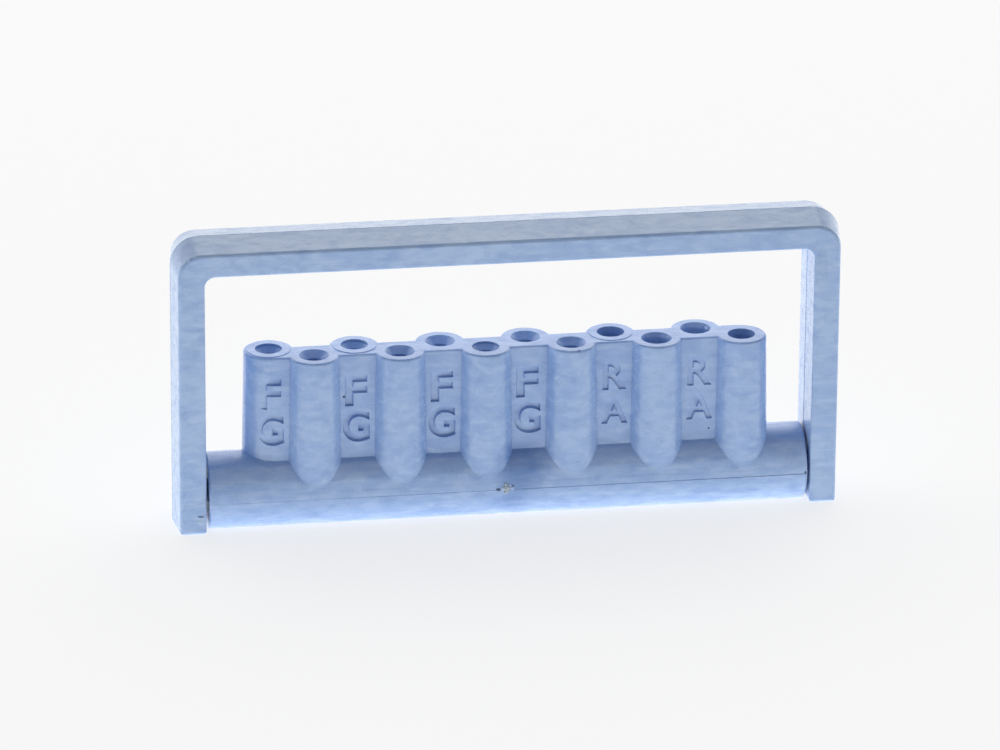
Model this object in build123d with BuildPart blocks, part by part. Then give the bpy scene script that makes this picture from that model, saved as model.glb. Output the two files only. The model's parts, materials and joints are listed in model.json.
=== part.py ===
"""Bur block with a swing-over bail: two plastic mouldings, in millimetres.

X runs along the base bar, Y to the back, +Z up. The table is z = 0 and the
origin is the middle of the footprint. Node bur_block is the round base bar
with its zig-zag wall of twelve tubes; node bail is the frame that swings over
the tubes on two studs that sit in sockets in the ends of the bar.
"""
import os
from math import atan, degrees, radians, tan

from build123d import *

# Tube wall: odd tubes stand in the back row, even ones in the front row
TUBE_COUNT = 12
TUBE_PITCH = 4.3
ROW_SPACING = 2.1
TUBE_TOP_RADIUS = 2.5
TUBE_FLARE = 0.3
BLOCK_TOP = 17.7
PANEL_PROUD = 0.05
PANEL_DRAFT = 1.2
TOP_EDGE_RADIUS = 0.25

# Base bar: it runs past the first and last tube, and its underside is flat
BAR_RADIUS = 3.9
BAR_END_MARGIN = 6.5
UNDERSIDE_CUT = 0.65
BAR_END_CHAMFER = 0.15
FRONT_TUBE_INSET = 0.045

# Raised witness discs round three of the back holes
WITNESS_TUBES = (0, 2, 8)
WITNESS_RADIUS = 2.2
WITNESS_HEIGHT = 0.06

# Holes: eight for 1.6 mm shanks, then four for 2.35 mm shanks
SMALL_HOLES = 8
SMALL_BORE_RADIUS = 0.9
LARGE_BORE_RADIUS = 1.25
HOLE_DEPTH = 12.5
# Each bore is this much shallower than the one to its left
DEPTH_STEP = 0.04
# Small holes with a stepped mouth; the other small ones have a plain cone
STEPPED_SMALL = (0, 2, 5)
STEP_RADIUS = 1.35
STEP_DEPTH = 0.25
STEP_CONE_DEPTH = 0.5
CONE_RADIUS = 1.5
CONE_DEPTH = 0.72
# Large holes with a straight counterbore; the other large ones have a cone
COUNTERBORED_LARGE = (8, 11)
COUNTERBORE_RADIUS = 1.38
COUNTERBORE_FLOOR_RADIUS = 1.31
COUNTERBORE_DEPTH = 0.58
LARGE_CONE_RADIUS = 1.53
LARGE_CONE_DEPTH = 0.55

# Bail: two drafted halves that meet in a ridge at mid depth, the top steeper than the arms
ARM_THICKNESS = 3.15
TOP_THICKNESS = 3.17
BAIL_DEPTH = 7.4
BAIL_END_CLEARANCE = 0.2
BUR_HEADROOM = 9.7
RIDGE_CORNER_RADIUS = 2.9
RIM_CORNER_RADIUS = 2.4
ARM_DRAFT = 6.8
TOP_DRAFT = 11.3
OPENING_CORNER_RADIUS = 1.0
INNER_DRAFT = 1.5
FACE_EDGE_RADIUS = 0.35
INNER_EDGE_RADIUS = 0.2
RIDGE_EDGE_RADIUS = 0.3
FOOT_EDGE_CHAMFER = 0.25

# Pivot
STUD_RADIUS = 1.15
SOCKET_CLEARANCE = 0.05
STUD_LENGTH = 1.55
STUD_ROOT = 1.0
STUD_TIP_CHAMFER = 0.25
SOCKET_END_CLEARANCE = 0.2

# Sizes that follow from the ones above
bar_length = TUBE_PITCH * (TUBE_COUNT - 1) + 2 * BAR_END_MARGIN
half_bar = bar_length / 2
axis_height = BAR_RADIUS - UNDERSIDE_CUT
tube_foot_radius = TUBE_TOP_RADIUS + TUBE_FLARE
front_row_y = tube_foot_radius + FRONT_TUBE_INSET - BAR_RADIUS
back_row_y = front_row_y + ROW_SPACING
panel_front_y = back_row_y - TUBE_TOP_RADIUS - PANEL_PROUD
panel_back_y = front_row_y + TUBE_TOP_RADIUS + PANEL_PROUD
opening_width = bar_length + 2 * BAIL_END_CLEARANCE
opening_top = BLOCK_TOP + BUR_HEADROOM
ridge_width = opening_width + 2 * ARM_THICKNESS
ridge_top = opening_top + TOP_THICKNESS
half_depth = BAIL_DEPTH / 2
wall_height = BLOCK_TOP - axis_height
tube_draft = degrees(atan((tube_foot_radius - TUBE_TOP_RADIUS) / wall_height))
first_tube_x = -TUBE_PITCH * (TUBE_COUNT - 1) / 2
tube_places = []
for index in range(TUBE_COUNT):
    row_y = back_row_y if index % 2 == 0 else front_row_y
    tube_places.append((first_tube_x + TUBE_PITCH * index, row_y))

small_places = tube_places[:SMALL_HOLES]
large_places = tube_places[SMALL_HOLES:]
stepped_places = [tube_places[i] for i in STEPPED_SMALL]
cone_places = [p for p in small_places if p not in stepped_places]
counterbore_places = [tube_places[i] for i in COUNTERBORED_LARGE]
large_cone_places = [p for p in large_places if p not in counterbore_places]
witness_places = [tube_places[i] for i in WITNESS_TUBES]

axis_plane = Plane.XY.offset(axis_height)
top_plane = Plane.XY.offset(BLOCK_TOP)
bar_start = Plane(origin=(-half_bar, 0, axis_height), x_dir=(0, 1, 0), z_dir=(1, 0, 0))
bar_end = Plane(origin=(half_bar, 0, axis_height), x_dir=(0, 1, 0), z_dir=(1, 0, 0))
panel_length = TUBE_PITCH * (TUBE_COUNT - 1)
panel_start = Plane(origin=(-panel_length / 2, 0, 0), x_dir=(0, 1, 0), z_dir=(1, 0, 0))
panel_flare = wall_height * tan(radians(PANEL_DRAFT))

with BuildPart() as bur_block:
    # Round base bar
    with BuildSketch(bar_start):
        Circle(BAR_RADIUS)
    extrude(amount=bar_length)
    chamfer(bur_block.edges().filter_by(GeomType.CIRCLE), BAR_END_CHAMFER)

    # Flat underside
    with Locations((0, 0, 0)):
        Box(
            bar_length + 2,
            4 * BAR_RADIUS,
            2 * BAR_RADIUS,
            align=(Align.CENTER, Align.CENTER, Align.MAX),
            mode=Mode.SUBTRACT,
        )

    # Drafted tubes, tangent to the front of the bar where they meet it
    with BuildSketch(axis_plane):
        with Locations(*tube_places[0::2]):
            Circle(tube_foot_radius)
    extrude(amount=wall_height, taper=tube_draft)
    with BuildSketch(axis_plane):
        with Locations(*tube_places[1::2]):
            Circle(tube_foot_radius)
    extrude(amount=wall_height, taper=tube_draft)
    fillet(bur_block.edges().group_by(Axis.Z)[-1], TOP_EDGE_RADIUS)

    # Flat panels between the tubes, with the same rounded top edge
    with BuildSketch(panel_start) as panel:
        with BuildLine():
            Polyline(
                (panel_front_y - panel_flare, axis_height),
                (panel_back_y + panel_flare, axis_height),
                (panel_back_y, BLOCK_TOP),
                (panel_front_y, BLOCK_TOP),
                close=True,
            )
        make_face()
        fillet(panel.vertices().group_by(Axis.Y)[-1], TOP_EDGE_RADIUS)
    extrude(amount=panel_length)

    # Witness discs
    with BuildSketch(top_plane):
        with Locations(*witness_places):
            Circle(WITNESS_RADIUS)
    extrude(amount=WITNESS_HEIGHT)
    with BuildSketch(top_plane):
        with Locations(*witness_places):
            Circle(WITNESS_RADIUS)
    extrude(amount=-2 * WITNESS_HEIGHT)

    # Blind bores
    for index, place in enumerate(tube_places):
        bore_radius = SMALL_BORE_RADIUS if index < SMALL_HOLES else LARGE_BORE_RADIUS
        bore_depth = HOLE_DEPTH - DEPTH_STEP * index
        with Locations((place[0], place[1], BLOCK_TOP + WITNESS_HEIGHT)):
            Cylinder(
                bore_radius,
                bore_depth + WITNESS_HEIGHT,
                align=(Align.CENTER, Align.CENTER, Align.MAX),
                mode=Mode.SUBTRACT,
            )

    # Stepped mouths: a short straight wall, then a cone
    with BuildSketch(Plane.XY.offset(BLOCK_TOP + WITNESS_HEIGHT)):
        with Locations(*stepped_places):
            Circle(STEP_RADIUS)
    extrude(amount=-(STEP_DEPTH + WITNESS_HEIGHT), mode=Mode.SUBTRACT)
    for place in stepped_places:
        with Locations((place[0], place[1], BLOCK_TOP - STEP_DEPTH)):
            Cone(
                SMALL_BORE_RADIUS,
                STEP_RADIUS,
                STEP_CONE_DEPTH,
                align=(Align.CENTER, Align.CENTER, Align.MAX),
                mode=Mode.SUBTRACT,
            )

    # Plain conical mouths of the other small holes
    for place in cone_places:
        with Locations((place[0], place[1], BLOCK_TOP)):
            Cone(
                SMALL_BORE_RADIUS,
                CONE_RADIUS,
                CONE_DEPTH,
                align=(Align.CENTER, Align.CENTER, Align.MAX),
                mode=Mode.SUBTRACT,
            )

    # Nearly straight counterbores, and cones, of the large holes
    for place in counterbore_places:
        with Locations((place[0], place[1], BLOCK_TOP + WITNESS_HEIGHT)):
            Cone(
                COUNTERBORE_FLOOR_RADIUS,
                COUNTERBORE_RADIUS,
                COUNTERBORE_DEPTH + WITNESS_HEIGHT,
                align=(Align.CENTER, Align.CENTER, Align.MAX),
                mode=Mode.SUBTRACT,
            )
    for place in large_cone_places:
        with Locations((place[0], place[1], BLOCK_TOP)):
            Cone(
                LARGE_BORE_RADIUS,
                LARGE_CONE_RADIUS,
                LARGE_CONE_DEPTH,
                align=(Align.CENTER, Align.CENTER, Align.MAX),
                mode=Mode.SUBTRACT,
            )

    # Pivot sockets in both ends of the bar
    socket_radius = STUD_RADIUS + SOCKET_CLEARANCE
    socket_depth = STUD_LENGTH + SOCKET_END_CLEARANCE - BAIL_END_CLEARANCE
    with BuildSketch(bar_start):
        Circle(socket_radius)
    extrude(amount=socket_depth, mode=Mode.SUBTRACT)
    with BuildSketch(bar_end):
        Circle(socket_radius)
    extrude(amount=-socket_depth, mode=Mode.SUBTRACT)
bur_block.part.label = "bur_block"

mid_plane = Plane(origin=(0, 0, 0), x_dir=(1, 0, 0), z_dir=(0, -1, 0))
outline_drop = 10.0
outline_height = ridge_top + outline_drop
rim_width = ridge_width - 2 * half_depth * tan(radians(ARM_DRAFT))
rim_top = ridge_top - half_depth * tan(radians(TOP_DRAFT))
rim_height = rim_top + outline_drop
opening_height = opening_top + 2 * outline_drop


def arch_edges(builder, face_distance, outer):
    """Give the bail's edges at a distance from mid depth, above its feet."""
    margin = 1.0
    chosen = []
    for edge in builder.edges():
        centre = edge.center()
        outside = abs(centre.X) > opening_width / 2 + margin or centre.Z > opening_top + margin
        above_feet = centre.Z > FOOT_EDGE_CHAMFER + 0.05
        at_distance = abs(abs(centre.Y) - face_distance) < 0.001
        if at_distance and above_feet and outside == outer:
            chosen.append(edge)
    return chosen


with BuildPart() as bail:
    # Two drafted halves back to back
    for side in (-1, 1):
        with BuildSketch(mid_plane) as ridge:
            with Locations((0, ridge_top - outline_height / 2)):
                Rectangle(ridge_width, outline_height)
            fillet(ridge.vertices().group_by(Axis.Y)[-1], RIDGE_CORNER_RADIUS)
        with BuildSketch(mid_plane.offset(side * half_depth)) as rim:
            with Locations((0, rim_top - rim_height / 2)):
                Rectangle(rim_width, rim_height)
            fillet(rim.vertices().group_by(Axis.Y)[-1], RIM_CORNER_RADIUS)
        loft(ruled=True)

    # Opening with its own small draft
    with BuildSketch(mid_plane) as opening:
        with Locations((0, opening_top - opening_height / 2)):
            Rectangle(opening_width, opening_height)
        fillet(opening.vertices().group_by(Axis.Y)[-1], OPENING_CORNER_RADIUS)
    extrude(amount=half_depth, taper=-INNER_DRAFT, mode=Mode.SUBTRACT)
    extrude(opening.sketch, amount=-half_depth, taper=-INNER_DRAFT, mode=Mode.SUBTRACT)

    # Flat feet
    Box(
        2 * ridge_width,
        4 * BAIL_DEPTH,
        4 * outline_drop,
        align=(Align.CENTER, Align.CENTER, Align.MAX),
        mode=Mode.SUBTRACT,
    )

    # Soft edges: the feet first, then the rims, the ridge and the opening
    chamfer(bail.faces().filter_by(Axis.Z).group_by(Axis.Z)[0].edges(), FOOT_EDGE_CHAMFER)
    fillet(arch_edges(bail, half_depth, True), FACE_EDGE_RADIUS)
    fillet(arch_edges(bail, 0.0, True), RIDGE_EDGE_RADIUS)
    fillet(arch_edges(bail, half_depth, False), INNER_EDGE_RADIUS)

    # Pivot studs on the inner faces of the arms
    for side in (-1, 1):
        stud_root = Plane(
            origin=(side * (opening_width / 2 + STUD_ROOT), 0, axis_height),
            x_dir=(0, 1, 0),
            z_dir=(-side, 0, 0),
        )
        with BuildSketch(stud_root):
            Circle(STUD_RADIUS)
        extrude(amount=STUD_LENGTH + STUD_ROOT)
    stud_tips = bail.edges().filter_by(GeomType.CIRCLE).filter_by(
        lambda e: abs(abs(e.center().X) - (opening_width / 2 - STUD_LENGTH)) < 0.001
    )
    chamfer(stud_tips, STUD_TIP_CHAMFER)
bail.part.label = "bail"

os.makedirs("parts", exist_ok=True)
export_step(bur_block.part, "parts/bur_block.step")
export_step(bail.part, "parts/bail.step")
for node in (bur_block, bail):
    box = node.part.bounding_box()
    print(node.part.label, len(node.part.solids()), "solids", box.min, box.max)
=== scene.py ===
"""Looks of the bur block: satin moulded plastic, sunk letters, parting lines and moulding marks.

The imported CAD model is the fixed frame. Every piece here rides on one of its bodies, and all
lengths are metres unless a comment or a property says otherwise.
"""

import json
import math

import bpy
from bpy.props import FloatProperty, FloatVectorProperty, PointerProperty
from mathutils import Matrix, Vector

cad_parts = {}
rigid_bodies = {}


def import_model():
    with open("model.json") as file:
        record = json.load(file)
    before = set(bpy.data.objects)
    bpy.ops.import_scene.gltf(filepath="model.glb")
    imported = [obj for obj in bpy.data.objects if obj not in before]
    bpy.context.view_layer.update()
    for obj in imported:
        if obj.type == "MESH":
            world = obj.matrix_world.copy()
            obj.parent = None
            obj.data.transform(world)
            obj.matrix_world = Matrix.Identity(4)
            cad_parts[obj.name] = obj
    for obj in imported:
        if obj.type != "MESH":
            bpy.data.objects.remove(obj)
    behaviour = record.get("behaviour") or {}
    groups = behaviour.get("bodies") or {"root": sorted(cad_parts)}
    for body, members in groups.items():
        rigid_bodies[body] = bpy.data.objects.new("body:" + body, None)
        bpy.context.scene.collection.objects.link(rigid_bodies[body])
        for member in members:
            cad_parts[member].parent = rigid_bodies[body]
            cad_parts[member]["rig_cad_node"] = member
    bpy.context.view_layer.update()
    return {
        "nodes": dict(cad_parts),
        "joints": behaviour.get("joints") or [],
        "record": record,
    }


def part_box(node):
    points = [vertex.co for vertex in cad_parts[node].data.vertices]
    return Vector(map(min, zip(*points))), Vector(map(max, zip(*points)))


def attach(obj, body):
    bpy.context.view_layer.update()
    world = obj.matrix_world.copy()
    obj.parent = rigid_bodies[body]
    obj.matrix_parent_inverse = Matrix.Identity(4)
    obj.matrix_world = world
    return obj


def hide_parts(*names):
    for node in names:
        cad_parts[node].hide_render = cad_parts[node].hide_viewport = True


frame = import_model()

bl_info = {
    "name": "Bur Block Finish",
    "version": (1, 0, 0),
    "blender": (4, 5, 0),
    "location": "View3D > Sidebar > Bur Block",
    "description": "Plastic finish, letters, seams and marks of a bur block, and its stage",
    "category": "Object",
}

MM = 0.001

# Boxes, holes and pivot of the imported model
block_low, block_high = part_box("bur_block")
bail_low, bail_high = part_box("bail")
mount_places = {mount["name"]: mount["pos_m"] for mount in frame["record"]["mounts"]}
back_hole_names = ("fg_hole_1", "fg_hole_3", "fg_hole_5", "fg_hole_7", "ra_hole_1", "ra_hole_3")
back_row_y = mount_places["fg_hole_1"][1]
axis_height = frame["joints"][0]["pos_m"][2]

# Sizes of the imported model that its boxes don't give
WITNESS_HEIGHT = 0.06 * MM
TUBE_TOP_RADIUS = 2.5 * MM
PANEL_PROUD = 0.05 * MM
PANEL_DRAFT = math.radians(1.2)
OPENING_HALF_WIDTH = 30.35 * MM
OPENING_TOP = 27.4 * MM
OPENING_CORNER_RADIUS = 1.0 * MM
RIDGE_CORNER_RADIUS = 2.85 * MM
block_top = block_high.z - WITNESS_HEIGHT


def panel_plane(height):
    """Give the y of the panels' front at a height."""
    return back_row_y - TUBE_TOP_RADIUS - PANEL_PROUD - (block_top - height) * math.tan(PANEL_DRAFT)


# Properties


def length(name, description, default, precision=5):
    """Make a length property."""
    return FloatProperty(
        name=name,
        description=description,
        default=default,
        subtype="DISTANCE",
        unit="LENGTH",
        precision=precision,
    )


def angle(name, description, degrees):
    """Make an angle property."""
    return FloatProperty(name=name, description=description, default=math.radians(degrees), subtype="ANGLE")


def colour(name, description, default):
    """Make a colour property."""
    return FloatVectorProperty(
        name=name, description=description, subtype="COLOR", default=default, min=0.0, max=1.0
    )


class BurBlockMouldings(bpy.types.PropertyGroup):
    block: colour("Block", "Base colour of the block", (0.285, 0.435, 0.735))
    bail: colour("Bail", "Base colour of the bail", (0.3, 0.45, 0.73))
    cloud: colour("Cloud", "Share of white mixed into the pale flow marks", (0.13, 0.155, 0.2))
    deep: colour("Deep", "Share of the base colour that stays between the flow marks", (0.77, 0.82, 0.89))
    # This share also sets how dark the painted shade in the valley above the gate is.
    stained_and_shaded: colour(
        "Stained", "Share of the base colour that stays in the burnt patches by the gate", (0.34, 0.5, 0.7)
    )
    roughness: FloatProperty(
        name="Roughness",
        description="Roughness of the satin surface",
        default=0.25,
        min=0.0,
        max=1.0,
        subtype="FACTOR",
    )
    peel: length("Peel", "Depth of the fine moulded texture", 0.008 * MM, 6)


class BurBlockLetters(bpy.types.PropertyGroup):
    depth: length("Depth", "How deep a letter G is sunk in its panel", 0.4 * MM)
    upper_height: length("Upper height", "Middle of the letters F above the table", 13.82 * MM)
    lower_height: length("Lower height", "Middle of the letters G above the table", 10.05 * MM)
    right_lift: length("Right lift", "How much higher than F and G the letters R and A stand", 0.28 * MM)
    left_shift: length("Left shift", "How far left of its hole the letters F and G stand", 0.15 * MM)
    right_shift: length("Right shift", "How far right of its hole the letters R and A stand", 0.06 * MM)


class BurBlockSeams(bpy.types.PropertyGroup):
    bar_bead: length("Bar bead", "Radius of the bar's parting line at its right end", 0.09 * MM, 6)
    bail_bead: length("Bail bead", "Radius of the bail's parting lines", 0.05 * MM, 6)
    gate_width: length("Gate width", "Width of the gate's broken stub on the bar", 1.5 * MM)


class BurBlockStage(bpy.types.PropertyGroup):
    azimuth: angle("Azimuth", "Camera's turn round the block", -8.46)
    elevation: angle("Elevation", "Camera's height angle", 22.64)
    roll: angle("Roll", "Camera's roll", 0.39)
    distance: length("Distance", "From the camera to the block", 798.9 * MM)
    lens: FloatProperty(name="Lens", description="Focal length in millimetres", default=288.0)
    aim_height: length("Aim height", "Height of the middle of the view", 12 * MM)
    aim_right: length("Aim right", "Shift of the view to the picture's right", -0.513 * MM)
    aim_up: length("Aim up", "Shift of the view to the picture's top", 1.9045 * MM)
    floor_size: length("Floor size", "Side of the floor", 12.0)


# Mesh helpers


def clear_selection():
    """Deselect every object."""
    for item in bpy.context.selected_objects:
        item.select_set(False)


def pick(piece):
    """Select one piece and make it active."""
    clear_selection()
    piece.select_set(True)
    bpy.context.view_layer.objects.active = piece


def edit_all(piece):
    """Enter edit mode with the whole mesh selected."""
    pick(piece)
    bpy.ops.object.mode_set(mode="EDIT")
    bpy.ops.mesh.select_all(action="SELECT")


def leave_edit():
    """Return to object mode."""
    bpy.ops.object.mode_set(mode="OBJECT")


def copy_of(piece):
    """Duplicate a piece with its own mesh."""
    pick(piece)
    bpy.ops.object.duplicate(linked=False)
    return bpy.context.active_object


def settle(piece, name):
    """Name a piece and apply its place to its mesh."""
    pick(piece)
    bpy.ops.object.transform_apply(location=True, rotation=True, scale=True)
    piece.name = name
    piece.data.name = name
    return piece


def mesh_box(piece):
    """Give the lowest and highest corners of a piece's mesh."""
    corners = [vertex.co for vertex in piece.data.vertices]
    low = Vector(min(corner[axis] for corner in corners) for axis in range(3))
    high = Vector(max(corner[axis] for corner in corners) for axis in range(3))
    return low, high


def dress(piece, body, material, smooth_angle=35):
    """Shade a piece smooth and give it its material, slot and body."""
    pick(piece)
    bpy.ops.object.shade_smooth_by_angle(angle=math.radians(smooth_angle))
    piece.data.materials.clear()
    piece.data.materials.append(shared_material(material))
    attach(piece, body)


def pebble(name, place, size, turn=0.0):
    """Model a small flattened lump with an uneven rim, turned about Y, sized in millimetres."""
    clear_selection()
    bpy.ops.mesh.primitive_uv_sphere_add(segments=16, ring_count=8, radius=0.5, location=place)
    lump = bpy.context.active_object
    edit_all(lump)
    bpy.ops.transform.vertex_random(offset=0.05, seed=len(name))
    bpy.ops.transform.resize(value=[part * MM for part in size], center_override=place)
    bpy.ops.transform.rotate(
        value=math.radians(-turn), orient_axis="Y", orient_type="GLOBAL", center_override=place
    )
    leave_edit()
    return settle(lump, name)


# Material helpers


def feed(tree, socket, value):
    """Link an output to an input socket, or write a fixed value into it."""
    if isinstance(value, bpy.types.NodeSocket):
        tree.links.new(value, socket)
    else:
        socket.default_value = value


def noise(tree, place, scale, detail=2.0, stretch=(1, 1, 1), turn=(0, 0, 0), distortion=0.0):
    """Add a noise texture on stretched coordinates, with its scale per millimetre."""
    mapping = tree.nodes.new("ShaderNodeMapping")
    mapping.inputs["Scale"].default_value = [part / MM for part in stretch]
    mapping.inputs["Rotation"].default_value = [math.radians(part) for part in turn]
    feed(tree, mapping.inputs["Vector"], place)
    texture = tree.nodes.new("ShaderNodeTexNoise")
    texture.inputs["Scale"].default_value = scale
    texture.inputs["Detail"].default_value = detail
    texture.inputs["Distortion"].default_value = distortion
    feed(tree, texture.inputs["Vector"], mapping.outputs["Vector"])
    return texture.outputs["Fac"]


def spread(tree, value, low, high, to_low=0.0, to_high=1.0):
    """Map a value's range to another, clamped."""
    ranger = tree.nodes.new("ShaderNodeMapRange")
    ranger.inputs["From Min"].default_value = low
    ranger.inputs["From Max"].default_value = high
    ranger.inputs["To Min"].default_value = to_low
    ranger.inputs["To Max"].default_value = to_high
    feed(tree, ranger.inputs["Value"], value)
    return ranger.outputs["Result"]


def mix_colour(tree, factor, first, second):
    """Mix two colours, each a socket or a triple."""
    mixer = tree.nodes.new("ShaderNodeMix")
    mixer.data_type = "RGBA"
    feed(tree, mixer.inputs["Factor"], factor)
    for socket, tint in ((mixer.inputs["A"], first), (mixer.inputs["B"], second)):
        feed(tree, socket, (*tint, 1.0) if isinstance(tint, tuple) else tint)
    return mixer.outputs["Result"]


def arithmetic(tree, operation, *values):
    """Add a maths node on sockets and numbers."""
    node = tree.nodes.new("ShaderNodeMath")
    node.operation = operation
    for socket, value in zip(node.inputs, values):
        feed(tree, socket, value)
    return node.outputs["Value"]


def object_place(tree):
    """Give the object coordinates."""
    return tree.nodes.new("ShaderNodeTexCoord").outputs["Object"]


def reach_from(tree, middle):
    """Give the distance from a point in object coordinates."""
    reach = tree.nodes.new("ShaderNodeVectorMath")
    reach.operation = "DISTANCE"
    feed(tree, reach.inputs[0], object_place(tree))
    reach.inputs[1].default_value = middle
    return reach.outputs["Value"]


def new_tree(name):
    """Make a material with a shader, and give it with its node tree."""
    material = bpy.data.materials.new(name)
    material.use_nodes = True
    return material, material.node_tree


# Materials

# How the flow marks run through each moulding, in degrees about X, Y and Z
BLOCK_FLOW_TURN = (12, 25, 8)
BAIL_FLOW_TURN = (30, -20, 40)

# Darkened patches round the gate: middle, radius of the full darkening, radius where it ends, strength. The
# first is a burnt patch at the gate; the second is painted shade in the valley between two tubes above the
# gate.
GATE_STAINS_AND_SHADE = (
    ((0.5 * MM, -3.7 * MM, 2.1 * MM), 0.4 * MM, 2.6 * MM, 0.55),
    # Painted shade in the valley between two tubes above the gate
    ((1.2 * MM, -3.2 * MM, 5.4 * MM), 1.2 * MM, 3.4 * MM, 0.9),
)

# How far the roughness falls and rises with the dapple
ROUGHNESS_FALL = 0.04
ROUGHNESS_RISE = 0.1

# Heights of the waves and the scratches in the moulded texture, where its fine grain is 1
WAVE_HEIGHT = 4.0
SCRATCH_HEIGHT = 0.7

# The two colours that the grain of a mark goes between
MARK_COLOURS = {
    "scorched_plastic": ((0.03, 0.05, 0.1), (0.1, 0.16, 0.28)),
    "chalky_plastic": ((0.45, 0.57, 0.78), (0.34, 0.47, 0.72)),
    "torn_plastic": ((0.48, 0.55, 0.58), (0.14, 0.2, 0.3)),
}
MARK_GRAIN_SCALE = 9.0
MARK_ROUGHNESS = 0.6


def moulded_plastic(name, base, turn, stains_and_shade):
    """Satin blue plastic with cloudy flow marks, fine streaks, burnt stains, painted shade and a moulded
    texture.
    """
    sizes = bpy.context.scene.bur_block_mouldings
    material, tree = new_tree(name)
    place = object_place(tree)
    shader = tree.nodes["Principled BSDF"]
    plastic = tuple(base)
    cloud = tuple(part + (1 - part) * share for part, share in zip(plastic, sizes.cloud))
    deep = tuple(part * share for part, share in zip(plastic, sizes.deep))
    stained_and_shaded = tuple(part * share for part, share in zip(plastic, sizes.stained_and_shaded))

    clouds = noise(tree, place, 0.14, turn=turn, distortion=0.8)
    clouds = spread(tree, clouds, 0.38, 0.68, to_high=0.8)
    streaks = noise(tree, place, 1.1, detail=5.0, stretch=(0.25, 1.0, 1.3), turn=(0, 32, 0), distortion=0.5)
    streaks = spread(tree, streaks, 0.45, 0.66, to_high=0.95)
    dapple = noise(tree, place, 1.3, detail=5.0, stretch=(0.5, 1.0, 1.0), turn=(0, -28, 0), distortion=0.4)
    dapple = spread(tree, dapple, 0.45, 0.7, to_high=0.75)
    tint = mix_colour(tree, clouds, plastic, cloud)
    tint = mix_colour(tree, streaks, tint, cloud)
    tint = mix_colour(tree, dapple, tint, deep)
    for middle, core, rim, strength in stains_and_shade:
        # Each patch darkens the colour: the burnt stain at the gate, and painted shade in the valley above
        # it
        patch = spread(tree, reach_from(tree, middle), core, rim, to_low=strength, to_high=0.0)
        streaked = spread(tree, streaks, 0.0, 0.9, to_low=1.0, to_high=0.75)
        tint = mix_colour(tree, arithmetic(tree, "MULTIPLY", patch, streaked), tint, stained_and_shaded)
    feed(tree, shader.inputs["Base Color"], tint)

    smoothest = sizes.roughness - ROUGHNESS_FALL
    roughest = sizes.roughness + ROUGHNESS_RISE
    feed(tree, shader.inputs["Roughness"], spread(tree, dapple, 0.0, 0.8, smoothest, roughest))
    shader.inputs["IOR"].default_value = 1.6
    shader.inputs["Subsurface Weight"].default_value = 0.06
    shader.inputs["Subsurface Radius"].default_value = (0.6 * MM, 0.8 * MM, 1.2 * MM)
    shader.inputs["Subsurface Scale"].default_value = 1.0

    peel = noise(tree, place, 5.0)
    waves = noise(tree, place, 0.7, turn=turn)
    scratches = noise(tree, place, 3.2, stretch=(0.3, 1.0, 2.2), turn=(0, -24, 0), distortion=0.5)
    height = arithmetic(tree, "MULTIPLY_ADD", waves, WAVE_HEIGHT, peel)
    height = arithmetic(tree, "MULTIPLY_ADD", scratches, SCRATCH_HEIGHT, height)
    bump = tree.nodes.new("ShaderNodeBump")
    bump.inputs["Strength"].default_value = 1.0
    bump.inputs["Distance"].default_value = sizes.peel
    feed(tree, bump.inputs["Height"], height)
    feed(tree, shader.inputs["Normal"], bump.outputs["Normal"])
    return material


def mark_plastic(name):
    """Dull, finely grained plastic of a mark."""
    material, tree = new_tree(name)
    shader = tree.nodes["Principled BSDF"]
    grain = spread(tree, noise(tree, object_place(tree), MARK_GRAIN_SCALE), 0.35, 0.65)
    feed(tree, shader.inputs["Base Color"], mix_colour(tree, grain, *MARK_COLOURS[name]))
    shader.inputs["Roughness"].default_value = MARK_ROUGHNESS
    return material


def shared_material(name):
    """Give a material by its name, made once."""
    found = bpy.data.materials.get(name)
    if found:
        return found
    sizes = bpy.context.scene.bur_block_mouldings
    if name == "satin_block_plastic":
        return moulded_plastic(name, sizes.block, BLOCK_FLOW_TURN, GATE_STAINS_AND_SHADE)
    if name == "satin_bail_plastic":
        return moulded_plastic(name, sizes.bail, BAIL_FLOW_TURN, ())
    return mark_plastic(name)


# Operators


class BURBLOCK_OT_finish_mouldings(bpy.types.Operator):
    """Give the block and the bail their satin plastic."""

    bl_idname = "burblock.finish_mouldings"
    bl_label = "Finish Mouldings"

    def execute(self, context):
        for node, material in (("bur_block", "satin_block_plastic"), ("bail", "satin_bail_plastic")):
            moulding = frame["nodes"][node]
            moulding.data.materials.clear()
            moulding.data.materials.append(shared_material(material))
        return {"FINISHED"}


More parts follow.
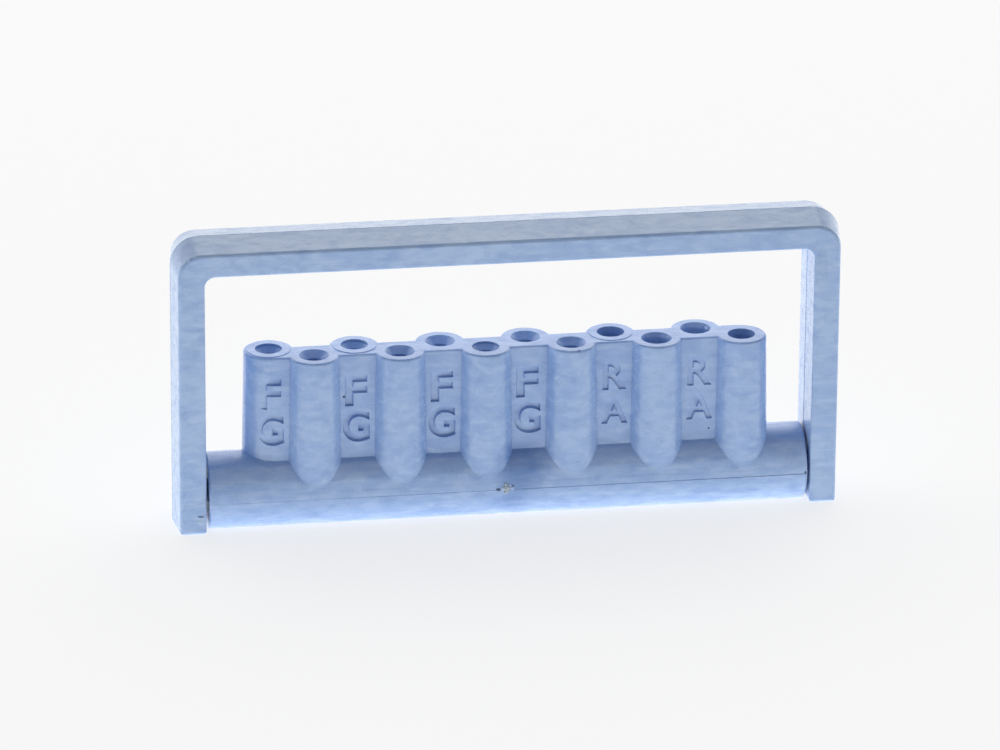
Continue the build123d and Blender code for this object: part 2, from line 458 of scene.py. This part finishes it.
class BURBLOCK_OT_sink_letters(bpy.types.Operator):
    """Sink a pair of plain letters in the flat panel under each back hole, and nick one rim."""

    bl_idname = "burblock.sink_letters"
    bl_label = "Sink Letters"

    # Width and height of each letter, and its share of the full depth
    letter_sizes = {
        "F": (2.25 * MM, 3.2 * MM),
        "G": (2.74 * MM, 3.36 * MM),
        "R": (2.5 * MM, 3.1 * MM),
        "A": (2.7 * MM, 2.8 * MM),
    }
    depth_shares = {"F": 0.84, "G": 1.0, "R": 0.62, "A": 0.7}

    # Length of a cutter, and the strokes of the text before it is sized: how much they are
    # widened, their half thickness and the width of the slope along their edges
    cutter_length = 1.6 * MM
    stroke_widening = 0.014
    stroke_half_thickness = 0.03
    stroke_slope = 0.02
    stroke_merge = 0.0005
    stroke_steps = 8

    # The nick in a rim, from the middle of its hole to the right, and its size in millimetres
    notched_hole = "fg_hole_8"
    notch_right = 0.45 * MM
    notch_inset = 0.1 * MM
    notch_size = (0.5, 0.6, 0.35)

    copy_merge = 0.0002 * MM
    size_tolerance = 0.01 * MM
    fewest_new_vertices = 400

    def cutter(self, glyph):
        """Model one letter's cutter at the origin, its narrow end inwards, leaning back with the panels."""
        clear_selection()
        bpy.ops.object.text_add()
        text = bpy.context.active_object
        text.data.body = glyph
        text.data.offset = self.stroke_widening
        text.data.extrude = self.stroke_half_thickness
        text.data.bevel_depth = self.stroke_slope
        text.data.bevel_resolution = 0
        text.data.resolution_u = self.stroke_steps
        bpy.ops.object.convert(target="MESH")
        piece = bpy.context.active_object
        low, high = mesh_box(piece)
        width, height = self.letter_sizes[glyph]
        edit_all(piece)
        bpy.ops.mesh.remove_doubles(threshold=self.stroke_merge)
        bpy.ops.transform.translate(value=(-(low.x + high.x) / 2, -(low.y + high.y) / 2, -low.z))
        bpy.ops.transform.resize(
            value=(
                width / (high.x - low.x),
                height / (high.y - low.y),
                self.cutter_length / (high.z - low.z),
            ),
            center_override=(0, 0, 0),
        )
        bpy.ops.transform.rotate(
            value=PANEL_DRAFT - math.radians(90),
            orient_axis="X",
            orient_type="GLOBAL",
            center_override=(0, 0, 0),
        )
        bpy.ops.mesh.normals_make_consistent(inside=False)
        leave_edit()
        low, high = mesh_box(piece)
        if high.z - low.z < 0.9 * height or low.y > -0.9 * self.cutter_length:
            raise RuntimeError("a letter was not turned upright to face the front")
        return piece

    def letter_cutters(self):
        """Copy the cutters of the letters to their panels."""
        sizes = bpy.context.scene.bur_block_letters
        placed = []
        for glyph in "FGRA":
            master = self.cutter(glyph)
            height = sizes.upper_height if glyph in "FR" else sizes.lower_height
            pair = "fg" if glyph in "FG" else "ra"
            shift = -sizes.left_shift
            if pair == "ra":
                height += sizes.right_lift
                shift = sizes.right_shift
            front = panel_plane(height) + sizes.depth * self.depth_shares[glyph]
            for hole in back_hole_names:
                if hole.startswith(pair):
                    piece = copy_of(master)
                    edit_all(piece)
                    bpy.ops.transform.translate(value=(mount_places[hole][0] + shift, front, height))
                    leave_edit()
                    placed.append(piece)
            bpy.data.objects.remove(master)
        return placed

    def rim_notch(self):
        """Model the cutter of the nick in one rim."""
        hole_x, hole_y, _ = mount_places[self.notched_hole]
        place = (hole_x + self.notch_right, hole_y - TUBE_TOP_RADIUS + self.notch_inset, block_top)
        return pebble("rim_notch", place, self.notch_size)

    def merged_block(self):
        """Copy the CAD block, off the frame, and merge its loose triangles."""
        piece = copy_of(frame["nodes"]["bur_block"])
        del piece["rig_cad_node"]
        bpy.ops.object.parent_clear(type="CLEAR_KEEP_TRANSFORM")
        edit_all(piece)
        bpy.ops.mesh.customdata_custom_splitnormals_clear()
        bpy.ops.mesh.remove_doubles(threshold=self.copy_merge)
        leave_edit()
        return piece

    def execute(self, context):
        piece = self.merged_block()
        plain_count = len(piece.data.vertices)
        notch = self.rim_notch()
        cutters = self.letter_cutters() + [notch]
        clear_selection()
        for cutter in cutters:
            cutter.select_set(True)
        context.view_layer.objects.active = cutters[0]
        bpy.ops.object.join()
        tool = context.active_object

        pick(piece)
        cut = piece.modifiers.new("cut", "BOOLEAN")
        cut.operation = "DIFFERENCE"
        cut.solver = "EXACT"
        cut.use_self = True
        cut.object = tool
        bpy.ops.object.modifier_apply(modifier=cut.name)
        bpy.data.objects.remove(tool)
        if len(piece.data.vertices) < plain_count + self.fewest_new_vertices:
            raise RuntimeError("the letters were not cut")
        low, high = mesh_box(piece)
        if max((low - block_low).length, (high - block_high).length) > self.size_tolerance:
            raise RuntimeError("cutting the letters changed the block's size")
        settle(piece, "block_moulding")
        dress(piece, "block", "satin_block_plastic", smooth_angle=32)
        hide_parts("bur_block")
        return {"FINISHED"}


class BURBLOCK_OT_add_bar_seams(bpy.types.Operator):
    """Lay the parting line along the front and the back of the base bar, stronger to the right."""

    bl_idname = "burblock.add_bar_seams"
    bl_label = "Add Bar Seams"

    # Gap at each end; then shares of the bead: its left end, its rounding and how far it stands proud
    inset = 0.16 * MM
    left_share = 0.22
    round_share = 0.3
    proud_share = 0.45

    def execute(self, context):
        bead = context.scene.bur_block_seams.bar_bead
        span = block_high.x - block_low.x - 2 * self.inset
        for name, side in (("bar_seam_front", -1), ("bar_seam_back", 1)):
            clear_selection()
            bpy.ops.mesh.primitive_cone_add(
                vertices=12,
                radius1=self.left_share * bead,
                radius2=bead,
                depth=span,
                location=(0, side * block_high.y, axis_height),
                rotation=(0, math.radians(90), 0),
            )
            seam = context.active_object
            edit_all(seam)
            bpy.ops.mesh.bevel(offset=self.round_share * bead, segments=2, affect="EDGES")
            bpy.ops.transform.translate(value=(0, -side * (1 - self.proud_share) * bead * 0.5, 0))
            leave_edit()
            settle(seam, name)
            dress(seam, "block", "satin_block_plastic")
        return {"FINISHED"}


class BURBLOCK_OT_add_bail_seams(bpy.types.Operator):
    """Lay the parting line at mid depth round the bail, outside on its ridge and inside its opening."""

    bl_idname = "burblock.add_bail_seams"
    bl_label = "Add Bail Seams"

    # Gaps under the feet of the outer line and over the pivot for the inner one
    ridge_foot = 0.4 * MM
    opening_foot = 0.8 * MM

    # Share of the bead's radius that is sunk at each line
    ridge_sunk = 0.6
    opening_sunk = 0.3

    corner_steps = 8
    merge_gap = 0.0001 * MM

    def arch(self, name, half_width, top, corner, radius, foot):
        """Sweep a thin round bead up one arm, across and down the other."""
        clear_selection()
        bpy.ops.mesh.primitive_circle_add(
            vertices=10, radius=radius, fill_type="NGON", location=(-half_width, 0, foot)
        )
        bead = bpy.context.active_object
        edit_all(bead)
        rise = top - corner - foot
        run = half_width - corner
        for path, bend_x in (((0, 0, rise), -run), ((2 * run, 0, 0), run)):
            bpy.ops.mesh.extrude_region_move(TRANSFORM_OT_translate={"value": path})
            bpy.ops.mesh.spin(
                steps=self.corner_steps,
                angle=math.radians(90),
                center=(bend_x, 0, top - corner),
                axis=(0, -1, 0),
            )
        bpy.ops.mesh.extrude_region_move(TRANSFORM_OT_translate={"value": (0, 0, -rise)})
        bpy.ops.mesh.select_all(action="SELECT")
        bpy.ops.mesh.remove_doubles(threshold=self.merge_gap)
        bpy.ops.mesh.normals_make_consistent(inside=False)
        leave_edit()
        settle(bead, name)
        low, high = mesh_box(bead)
        if high.z - low.z < 0.5 * bail_high.z or high.x < 0.9 * OPENING_HALF_WIDTH:
            raise RuntimeError("a bail seam was not swept round the arch")
        return bead

    def execute(self, context):
        radius = context.scene.bur_block_seams.bail_bead
        outer = self.arch(
            "bail_seam_ridge",
            bail_high.x - self.ridge_sunk * radius,
            bail_high.z - self.ridge_sunk * radius,
            RIDGE_CORNER_RADIUS,
            radius,
            self.ridge_foot,
        )
        inner = self.arch(
            "bail_seam_opening",
            OPENING_HALF_WIDTH + self.opening_sunk * radius,
            OPENING_TOP + self.opening_sunk * radius,
            OPENING_CORNER_RADIUS,
            radius,
            2 * axis_height + self.opening_foot,
        )
        for seam in (outer, inner):
            dress(seam, "bail", "satin_bail_plastic", smooth_angle=60)
        return {"FINISHED"}


class BURBLOCK_OT_add_gate_mark(bpy.types.Operator):
    """Leave the gate's broken stub on the middle of the bar's front, with a scorched spot."""

    bl_idname = "burblock.add_gate_mark"
    bl_label = "Add Gate Mark"

    # Name, material, place right of the bar's middle and over its axis, width and height, all in
    # millimetres for a gate of the drawn width, and turn in degrees
    drawn_width = 1.5 * MM
    chip_thickness = 0.14
    chips = (
        ("gate_stub", "torn_plastic", -0.35, 0.16, 0.95, 0.62, 8),
        ("gate_chip_left", "chalky_plastic", -0.76, 0.1, 0.34, 0.4, -20),
        ("gate_chip_right", "chalky_plastic", 0.2, 0.16, 0.46, 0.3, 30),
        ("gate_chip_upper", "torn_plastic", -0.42, 0.56, 0.3, 0.42, -35),
        ("gate_chip_tip", "chalky_plastic", -0.02, 0.5, 0.26, 0.24, 20),
        ("gate_chip_lower", "torn_plastic", -0.42, -0.24, 0.4, 0.26, 15),
        ("gate_spot", "scorched_plastic", -1.2, 0.08, 0.46, 0.3, 10),
        ("gate_spot_right", "scorched_plastic", 0.3, 0.42, 0.14, 0.16, -30),
    )

    def execute(self, context):
        scale = context.scene.bur_block_seams.gate_width / self.drawn_width
        for name, material, right, rise, wide, tall, turn in self.chips:
            place = (right * MM, block_low.y, axis_height + rise * MM)
            chip = pebble(name, place, (wide * scale, self.chip_thickness, tall * scale), turn)
            dress(chip, "block", material, smooth_angle=30)
        return {"FINISHED"}


class BURBLOCK_OT_add_moulding_marks(bpy.types.Operator):
    """Add the small specks, nicks and flash that the moulding left."""

    bl_idname = "burblock.add_moulding_marks"
    bl_label = "Add Moulding Marks"

    # Name, material, x and height over the table, size and turn, in millimetres and degrees
    bail_marks = (
        ("foot_dash", "scorched_plastic", -31.03, 1.98, (0.75, 0.05, 0.16), 4),
        ("foot_smear", "chalky_plastic", -31.0, 1.35, (0.7, 0.04, 0.5), 0),
        ("arm_sink", "satin_bail_plastic", 31.2, 25.2, (1.1, 0.05, 5.4), 0),
        ("corner_speck", "chalky_plastic", -32.02, 29.4, (0.18, 0.05, 0.18), 0),
    )
    panel_marks = (
        ("letter_speck", "scorched_plastic", -16.42, 13.25, (0.3, 0.06, 0.3), 0),
        ("panel_speck", "scorched_plastic", 20.39, 7.9, (0.2, 0.06, 0.2), 0),
    )

    # The nick at the right end of the bar's parting line, and the flash in one mouth, from its middle
    nick_x = 29.95 * MM
    nick_rise = 0.15 * MM
    flash_hole = "ra_hole_3"
    flash_offset = (1.2 * MM, 0.35 * MM, -0.3 * MM)

    def add(self, name, body, material, place, size, turn):
        """Model one mark and dress it."""
        dress(pebble(name, place, size, turn), body, material, smooth_angle=60)

    def execute(self, context):
        for name, material, x, height, size, turn in self.bail_marks:
            self.add(name, "bail", material, (x * MM, bail_low.y, height * MM), size, turn)
        for name, material, x, height, size, turn in self.panel_marks:
            place = (x * MM, panel_plane(height * MM), height * MM)
            self.add(name, "block", material, place, size, turn)
        nick_place = (self.nick_x, block_low.y, axis_height + self.nick_rise)
        self.add("seam_nick", "block", "scorched_plastic", nick_place, (0.22, 0.08, 0.4), 0)
        mouth = Vector((*mount_places[self.flash_hole][:2], block_top))
        flash_place = mouth + Vector(self.flash_offset)
        self.add("mouth_flash", "block", "chalky_plastic", flash_place, (0.35, 0.8, 0.2), 10)
        return {"FINISHED"}


class BURBLOCK_OT_build_stage(bpy.types.Operator):
    """Build the floor, the soft light and the camera."""

    bl_idname = "burblock.build_stage"
    bl_label = "Build Stage"

    # The floor as the block meets it: its grey, and the light it throws up near the block and far
    # from it; then as it is seen: its grey and glow, and the glow that a reflection adds
    floor_drop = 0.02 * MM
    hidden_grey = 0.6
    bounce_reach = (30 * MM, 160 * MM)
    bounce_strength = (1.26, 0.78)
    seen_grey = 0.34
    seen_glow = 0.73
    mirrored_glow = 0.4

    # The tent as it lights the block: its front at table level and above, its rear, and the gain
    # at the sides; then as it is seen: its white, and what a reflection of its rear adds low and high
    front_height = (0.0, 0.5)
    front_strength = (0.3, 0.02)
    rear_depth = (-0.06, 0.5)
    rear_strength = 1.15
    side_gain = 0.4
    seen_white = 0.985
    mirrored_height = (0.1, 0.7)
    mirrored_gain = (0.5, 0.3)

    # Name, place, width and radiance of each lamp
    lamps = (
        ("rear_lamp", (0.08, 0.6, 0.5), 0.45, 1.15),
        ("left_lamp", (-0.7, 0.2, 0.25), 0.35, 0.4),
    )
    lamp_aim = Vector((0, 0, 15 * MM))

    def seen_rays(self, tree):
        """Give 1 for camera, glossy and transmission rays."""
        path = tree.nodes.new("ShaderNodeLightPath").outputs
        seen = arithmetic(tree, "MAXIMUM", path["Is Camera Ray"], path["Is Glossy Ray"])
        return arithmetic(tree, "MAXIMUM", seen, path["Is Transmission Ray"])

    def glossy_rays(self, tree):
        """Give 1 for glossy rays."""
        return tree.nodes.new("ShaderNodeLightPath").outputs["Is Glossy Ray"]

    def choose(self, tree, hidden, seen, output):
        """Send one shader to the rays that light the block and another to those that see."""
        choice = tree.nodes.new("ShaderNodeMixShader")
        feed(tree, choice.inputs["Fac"], self.seen_rays(tree))
        feed(tree, choice.inputs[1], hidden)
        feed(tree, choice.inputs[2], seen)
        feed(tree, tree.nodes[output].inputs["Surface"], choice.outputs["Shader"])

    def paper(self, tree, grey, strength):
        """Add a pale diffuse paper that also glows."""
        diffuse = tree.nodes.new("ShaderNodeBsdfDiffuse")
        diffuse.inputs["Color"].default_value = (grey, grey, grey, 1)
        glow = tree.nodes.new("ShaderNodeEmission")
        glow.inputs["Color"].default_value = (1, 1, 1, 1)
        feed(tree, glow.inputs["Strength"], strength)
        both = tree.nodes.new("ShaderNodeAddShader")
        feed(tree, both.inputs[0], diffuse.outputs["BSDF"])
        feed(tree, both.inputs[1], glow.outputs["Emission"])
        return both.outputs["Shader"]

    def floor_material(self):
        """White floor that keeps the block's shadow and throws light up at it."""
        material, tree = new_tree("white_floor")
        tree.nodes.remove(tree.nodes["Principled BSDF"])
        bounce = spread(tree, reach_from(tree, (0, 0, 0)), *self.bounce_reach, *self.bounce_strength)
        hidden = self.paper(tree, self.hidden_grey, bounce)
        mirrored = self.glossy_rays(tree)
        glow = arithmetic(tree, "MULTIPLY_ADD", mirrored, self.mirrored_glow, self.seen_glow)
        seen = self.paper(tree, self.seen_grey, glow)
        self.choose(tree, hidden, seen, "Material Output")
        return material

    def light_world(self):
        """A light tent: bright behind, dimmer in front, darkest above the front."""
        world = bpy.data.worlds.new("light_tent")
        bpy.context.scene.world = world
        world.use_nodes = True
        tree = world.node_tree
        parts = tree.nodes.new("ShaderNodeSeparateXYZ")
        feed(tree, parts.inputs["Vector"], tree.nodes.new("ShaderNodeTexCoord").outputs["Generated"])
        right, depth, height = parts.outputs

        front = spread(tree, height, *self.front_height, *self.front_strength)
        rear_share = spread(tree, depth, *self.rear_depth)
        rear_gain = arithmetic(tree, "SUBTRACT", self.rear_strength, front)
        total = arithmetic(tree, "MULTIPLY_ADD", rear_share, rear_gain, front)
        side = arithmetic(tree, "MULTIPLY", right, right)
        total = arithmetic(tree, "MULTIPLY_ADD", side, self.side_gain, total)
        lit = tree.nodes["Background"]
        lit.inputs["Color"].default_value = (1.0, 1.0, 1.0, 1)
        feed(tree, lit.inputs["Strength"], total)

        white = tree.nodes.new("ShaderNodeBackground")
        white.inputs["Color"].default_value = (self.seen_white, self.seen_white, self.seen_white, 1)
        gain = spread(tree, height, *self.mirrored_height, *self.mirrored_gain)
        mirrored = arithmetic(tree, "MULTIPLY", rear_share, self.glossy_rays(tree))
        feed(tree, white.inputs["Strength"], arithmetic(tree, "MULTIPLY_ADD", mirrored, gain, 1.0))
        self.choose(tree, lit.outputs["Background"], white.outputs["Background"], "World Output")

    def soft_lamp(self, name, place, width, radiance):
        """Add a square area lamp of a given radiance that looks at the block."""
        clear_selection()
        bpy.ops.object.light_add(type="AREA", location=place)
        lamp = bpy.context.active_object
        lamp.name = name
        lamp.data.shape = "SQUARE"
        lamp.data.size = width
        lamp.data.energy = radiance * math.pi * width * width
        lamp.rotation_mode = "QUATERNION"
        lamp.rotation_quaternion = (self.lamp_aim - Vector(place)).to_track_quat("-Z", "Y")

    def set_camera(self, scene):
        """Place the camera at the view's angles and make it the scene's."""
        sizes = scene.bur_block_stage
        bpy.ops.object.camera_add()
        camera = bpy.context.active_object
        camera.name = "camera"
        flat = math.cos(sizes.elevation)
        back = Vector((
            math.sin(sizes.azimuth) * flat,
            -math.cos(sizes.azimuth) * flat,
            math.sin(sizes.elevation),
        ))
        level_right = Vector((math.cos(sizes.azimuth), math.sin(sizes.azimuth), 0))
        level_up = back.cross(level_right)
        right = level_right * math.cos(sizes.roll) + level_up * math.sin(sizes.roll)
        up = level_up * math.cos(sizes.roll) - level_right * math.sin(sizes.roll)
        aim = Vector((0, 0, sizes.aim_height)) + right * sizes.aim_right + up * sizes.aim_up
        camera.location = aim + back * sizes.distance
        camera.rotation_mode = "QUATERNION"
        camera.rotation_quaternion = Matrix((right, up, back)).transposed().to_quaternion()
        camera.data.sensor_width = 36.0
        camera.data.lens = sizes.lens
        camera.data.clip_start = 0.01
        camera.data.clip_end = 40.0
        scene.camera = camera

    def execute(self, context):
        clear_selection()
        bpy.ops.mesh.primitive_plane_add(
            size=context.scene.bur_block_stage.floor_size, location=(0, 0, -self.floor_drop)
        )
        floor = settle(context.active_object, "floor")
        floor.data.materials.append(self.floor_material())
        self.light_world()
        for name, place, width, radiance in self.lamps:
            self.soft_lamp(name, place, width, radiance)
        self.set_camera(context.scene)
        context.scene.view_settings.view_transform = "Standard"
        return {"FINISHED"}


class BURBLOCK_PT_panel(bpy.types.Panel):
    """Sizes and steps of the bur block's finish."""

    bl_idname = "BURBLOCK_PT_panel"
    bl_label = "Bur Block"
    bl_space_type = "VIEW_3D"
    bl_region_type = "UI"
    bl_category = "Bur Block"

    def draw(self, context):
        layout = self.layout
        for name, group in property_groups:
            box = layout.box()
            for size in group.__annotations__:
                box.prop(getattr(context.scene, name), size)
        for step in steps:
            layout.operator(step.bl_idname)


steps = (
    BURBLOCK_OT_finish_mouldings,
    BURBLOCK_OT_sink_letters,
    BURBLOCK_OT_add_bar_seams,
    BURBLOCK_OT_add_bail_seams,
    BURBLOCK_OT_add_gate_mark,
    BURBLOCK_OT_add_moulding_marks,
    BURBLOCK_OT_build_stage,
)
property_groups = (
    ("bur_block_mouldings", BurBlockMouldings),
    ("bur_block_letters", BurBlockLetters),
    ("bur_block_seams", BurBlockSeams),
    ("bur_block_stage", BurBlockStage),
)


def register():
    """Register the properties, the steps and the panel."""
    for name, group in property_groups:
        bpy.utils.register_class(group)
        setattr(bpy.types.Scene, name, PointerProperty(type=group))
    for step in steps:
        bpy.utils.register_class(step)
    bpy.utils.register_class(BURBLOCK_PT_panel)


def unregister():
    """Take the properties, the steps and the panel away."""
    bpy.utils.unregister_class(BURBLOCK_PT_panel)
    for step in reversed(steps):
        bpy.utils.unregister_class(step)
    for name, group in reversed(property_groups):
        delattr(bpy.types.Scene, name)
        bpy.utils.unregister_class(group)


def main():
    """Run every step in order."""
    register()
    bpy.ops.burblock.finish_mouldings()
    bpy.ops.burblock.sink_letters()
    bpy.ops.burblock.add_bar_seams()
    bpy.ops.burblock.add_bail_seams()
    bpy.ops.burblock.add_gate_mark()
    bpy.ops.burblock.add_moulding_marks()
    bpy.ops.burblock.build_stage()


if __name__ == "__main__":
    main()
